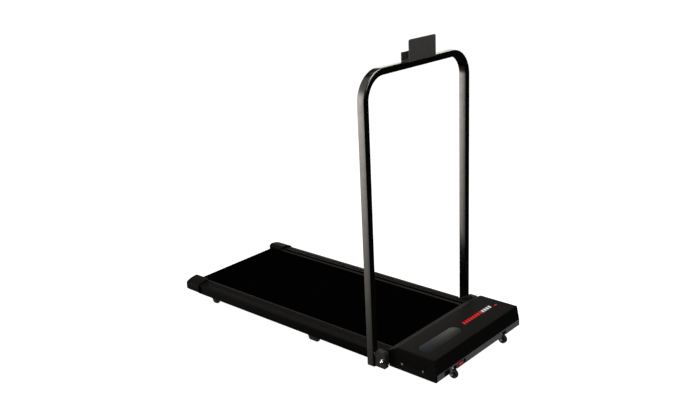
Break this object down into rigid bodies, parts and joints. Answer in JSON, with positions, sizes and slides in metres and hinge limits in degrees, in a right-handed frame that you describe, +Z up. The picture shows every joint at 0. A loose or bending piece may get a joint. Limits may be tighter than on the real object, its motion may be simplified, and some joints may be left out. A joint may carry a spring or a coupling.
{
  "type": "folding treadmill",
  "caption": "Low motorised walking treadmill with a fold-back U handrail, phone holder, motor hood with display, side rails, end caps and transport wheels.",
  "frame": {"origin": "on the floor, under the centre of the overall box, on the belt's centre plane", "axes": "+Z up; -Y towards the motor hood, the way a walker faces; +X to the walker's left"},
  "size_m": [0.5854, 1.261, 1.087],
  "materials": {
    "black_frame_paint": "satin black powder coat",
    "deck_laminate": "black phenolic-faced fibreboard",
    "black_rubber": "matt black rubber",
    "belt_black": "fine diamond-textured black PVC",
    "zinc_steel": "zinc-plated steel",
    "bearing_steel": "ground steel",
    "rail_plastic": "satin black plastic",
    "black_hood_plastic": "fine-textured satin black plastic",
    "wheel_plastic": "hard black nylon",
    "grey_lip_plastic": "satin dark grey plastic",
    "black_gloss_plastic": "gloss black plastic",
    "red_plastic": "translucent red plastic",
    "smoked_window": "smoked acrylic with a gloss face",
    "component_black": "moulded component bodies",
    "aluminium_cast": "as-cast aluminium",
    "motor_can_steel": "black-painted steel",
    "magnet_grey": "sintered ferrite",
    "armature_core": "laminated steel with copper windings",
    "circuit_green": "green solder mask",
    "wire_insulation": "PVC insulation",
    "nylon_natural": "natural nylon",
    "gloss_black_tube": "gloss black powder coat",
    "chrome": "bright chrome",
    "holder_plastic": "matt dark grey plastic"
  },
  "bodies": {
    "base": {"frame_tube_left": "black_frame_paint", "frame_tube_right": "black_frame_paint", "deck_crossbars": "black_frame_paint", "motor_bay_bars": "black_frame_paint", "deck_board": "deck_laminate", "deck_cushions": "black_rubber", "running_belt": "belt_black", "roller_shafts": "zinc_steel", "roller_bearings": "bearing_steel", "belt_tension_bolts": "zinc_steel", "side_rail_left": "rail_plastic", "side_rail_right": "rail_plastic", "end_cap_left": "black_hood_plastic", "end_cap_right": "black_hood_plastic", "rubber_feet": "black_rubber", "wheel_forks": "black_frame_paint", "wheel_axle_bolts": "zinc_steel", "motor_hood": "black_hood_plastic", "hood_screws": "zinc_steel", "base_pan": "grey_lip_plastic", "switch_housing": "black_gloss_plastic", "mains_inlet": "black_gloss_plastic", "breaker_body": "black_gloss_plastic", "display_window": "smoked_window", "display_board": "component_black", "drive_belt": "black_rubber", "motor_can": "motor_can_steel", "motor_end_bells": "aluminium_cast", "motor_magnets": "magnet_grey", "motor_saddles": "black_frame_paint", "controller_tray": "zinc_steel", "controller_board": "circuit_green", "heat_sink": "aluminium_cast", "board_components": "component_black", "wire_harness": "wire_insulation", "speed_sensor": "black_gloss_plastic", "hinge_brackets": "black_frame_paint", "pivot_studs": "bearing_steel", "pivot_washers_and_clips": "zinc_steel"},
    "handrail": {"handrail_tube": "gloss_black_tube", "hinge_lugs": "black_frame_paint", "lock_studs": "zinc_steel", "leg_plugs": "black_rubber", "pivot_bushes": "nylon_natural", "phone_holder": "holder_plastic", "holder_pad": "black_rubber", "holder_screws": "zinc_steel"},
    "lock_nut_l": {"lock_nut_left": "chrome"},
    "lock_nut_r": {"lock_nut_right": "chrome"},
    "front_drive_roller": {"front_roller": "zinc_steel", "roller_pulley": "aluminium_cast"},
    "rear_idler_roller": {"rear_roller": "zinc_steel"},
    "motor_rotor": {"motor_shaft": "bearing_steel", "motor_armature": "armature_core", "motor_fan": "black_gloss_plastic", "motor_pulley": "zinc_steel"},
    "transport_wheel_l": {"wheel_left": "wheel_plastic"},
    "transport_wheel_r": {"wheel_right": "wheel_plastic"},
    "switch_rocker": {"power_rocker": "red_plastic"},
    "reset_button": {"breaker_button": "black_gloss_plastic"}
  },
  "joints": [
    {"name": "handrail_fold", "type": "hinge", "parent": "base", "child": "handrail", "pos_m": [0, -0.3685, 0.052], "axis": [-1, 0, 0], "range_deg": [0, 87]},
    {"name": "lock_nut_left_turn", "type": "hinge", "parent": "handrail", "child": "lock_nut_l", "pos_m": [0.2803, -0.4185, 0.052], "axis": [1, 0, 0], "range_deg": [0, 360]},
    {"name": "lock_nut_right_turn", "type": "hinge", "parent": "handrail", "child": "lock_nut_r", "pos_m": [-0.2803, -0.4185, 0.052], "axis": [-1, 0, 0], "range_deg": [0, 360]},
    {"name": "front_roller_spin", "type": "hinge", "parent": "base", "child": "front_drive_roller", "pos_m": [0, -0.442, 0.0521], "axis": [1, 0, 0], "continuous": true},
    {"name": "motor_spin", "type": "hinge", "parent": "base", "child": "motor_rotor", "pos_m": [0, -0.5345, 0.0705], "axis": [1, 0, 0], "continuous": true},
    {"name": "rear_roller_spin", "type": "hinge", "parent": "base", "child": "rear_idler_roller", "pos_m": [0, 0.6016, 0.0521], "axis": [1, 0, 0], "continuous": true},
    {"name": "left_wheel_spin", "type": "hinge", "parent": "base", "child": "transport_wheel_l", "pos_m": [0.152, -0.6145, 0.016], "axis": [1, 0, 0], "continuous": true},
    {"name": "right_wheel_spin", "type": "hinge", "parent": "base", "child": "transport_wheel_r", "pos_m": [-0.152, -0.6145, 0.016], "axis": [1, 0, 0], "continuous": true},
    {"name": "power_switch_rock", "type": "hinge", "parent": "base", "child": "switch_rocker", "pos_m": [-0.122, -0.6195, 0.04175], "axis": [0, 0, 1], "range_deg": [-12, 0]},
    {"name": "reset_button_press", "type": "slide", "parent": "base", "child": "reset_button", "axis": [0, 1, 0], "range_m": [0, 0.002], "stiffness_N_per_m": 300}
  ],
  "couplings": [
    {"joint": "motor_spin", "follows": "front_roller_spin", "ratio": 2}
  ]
}
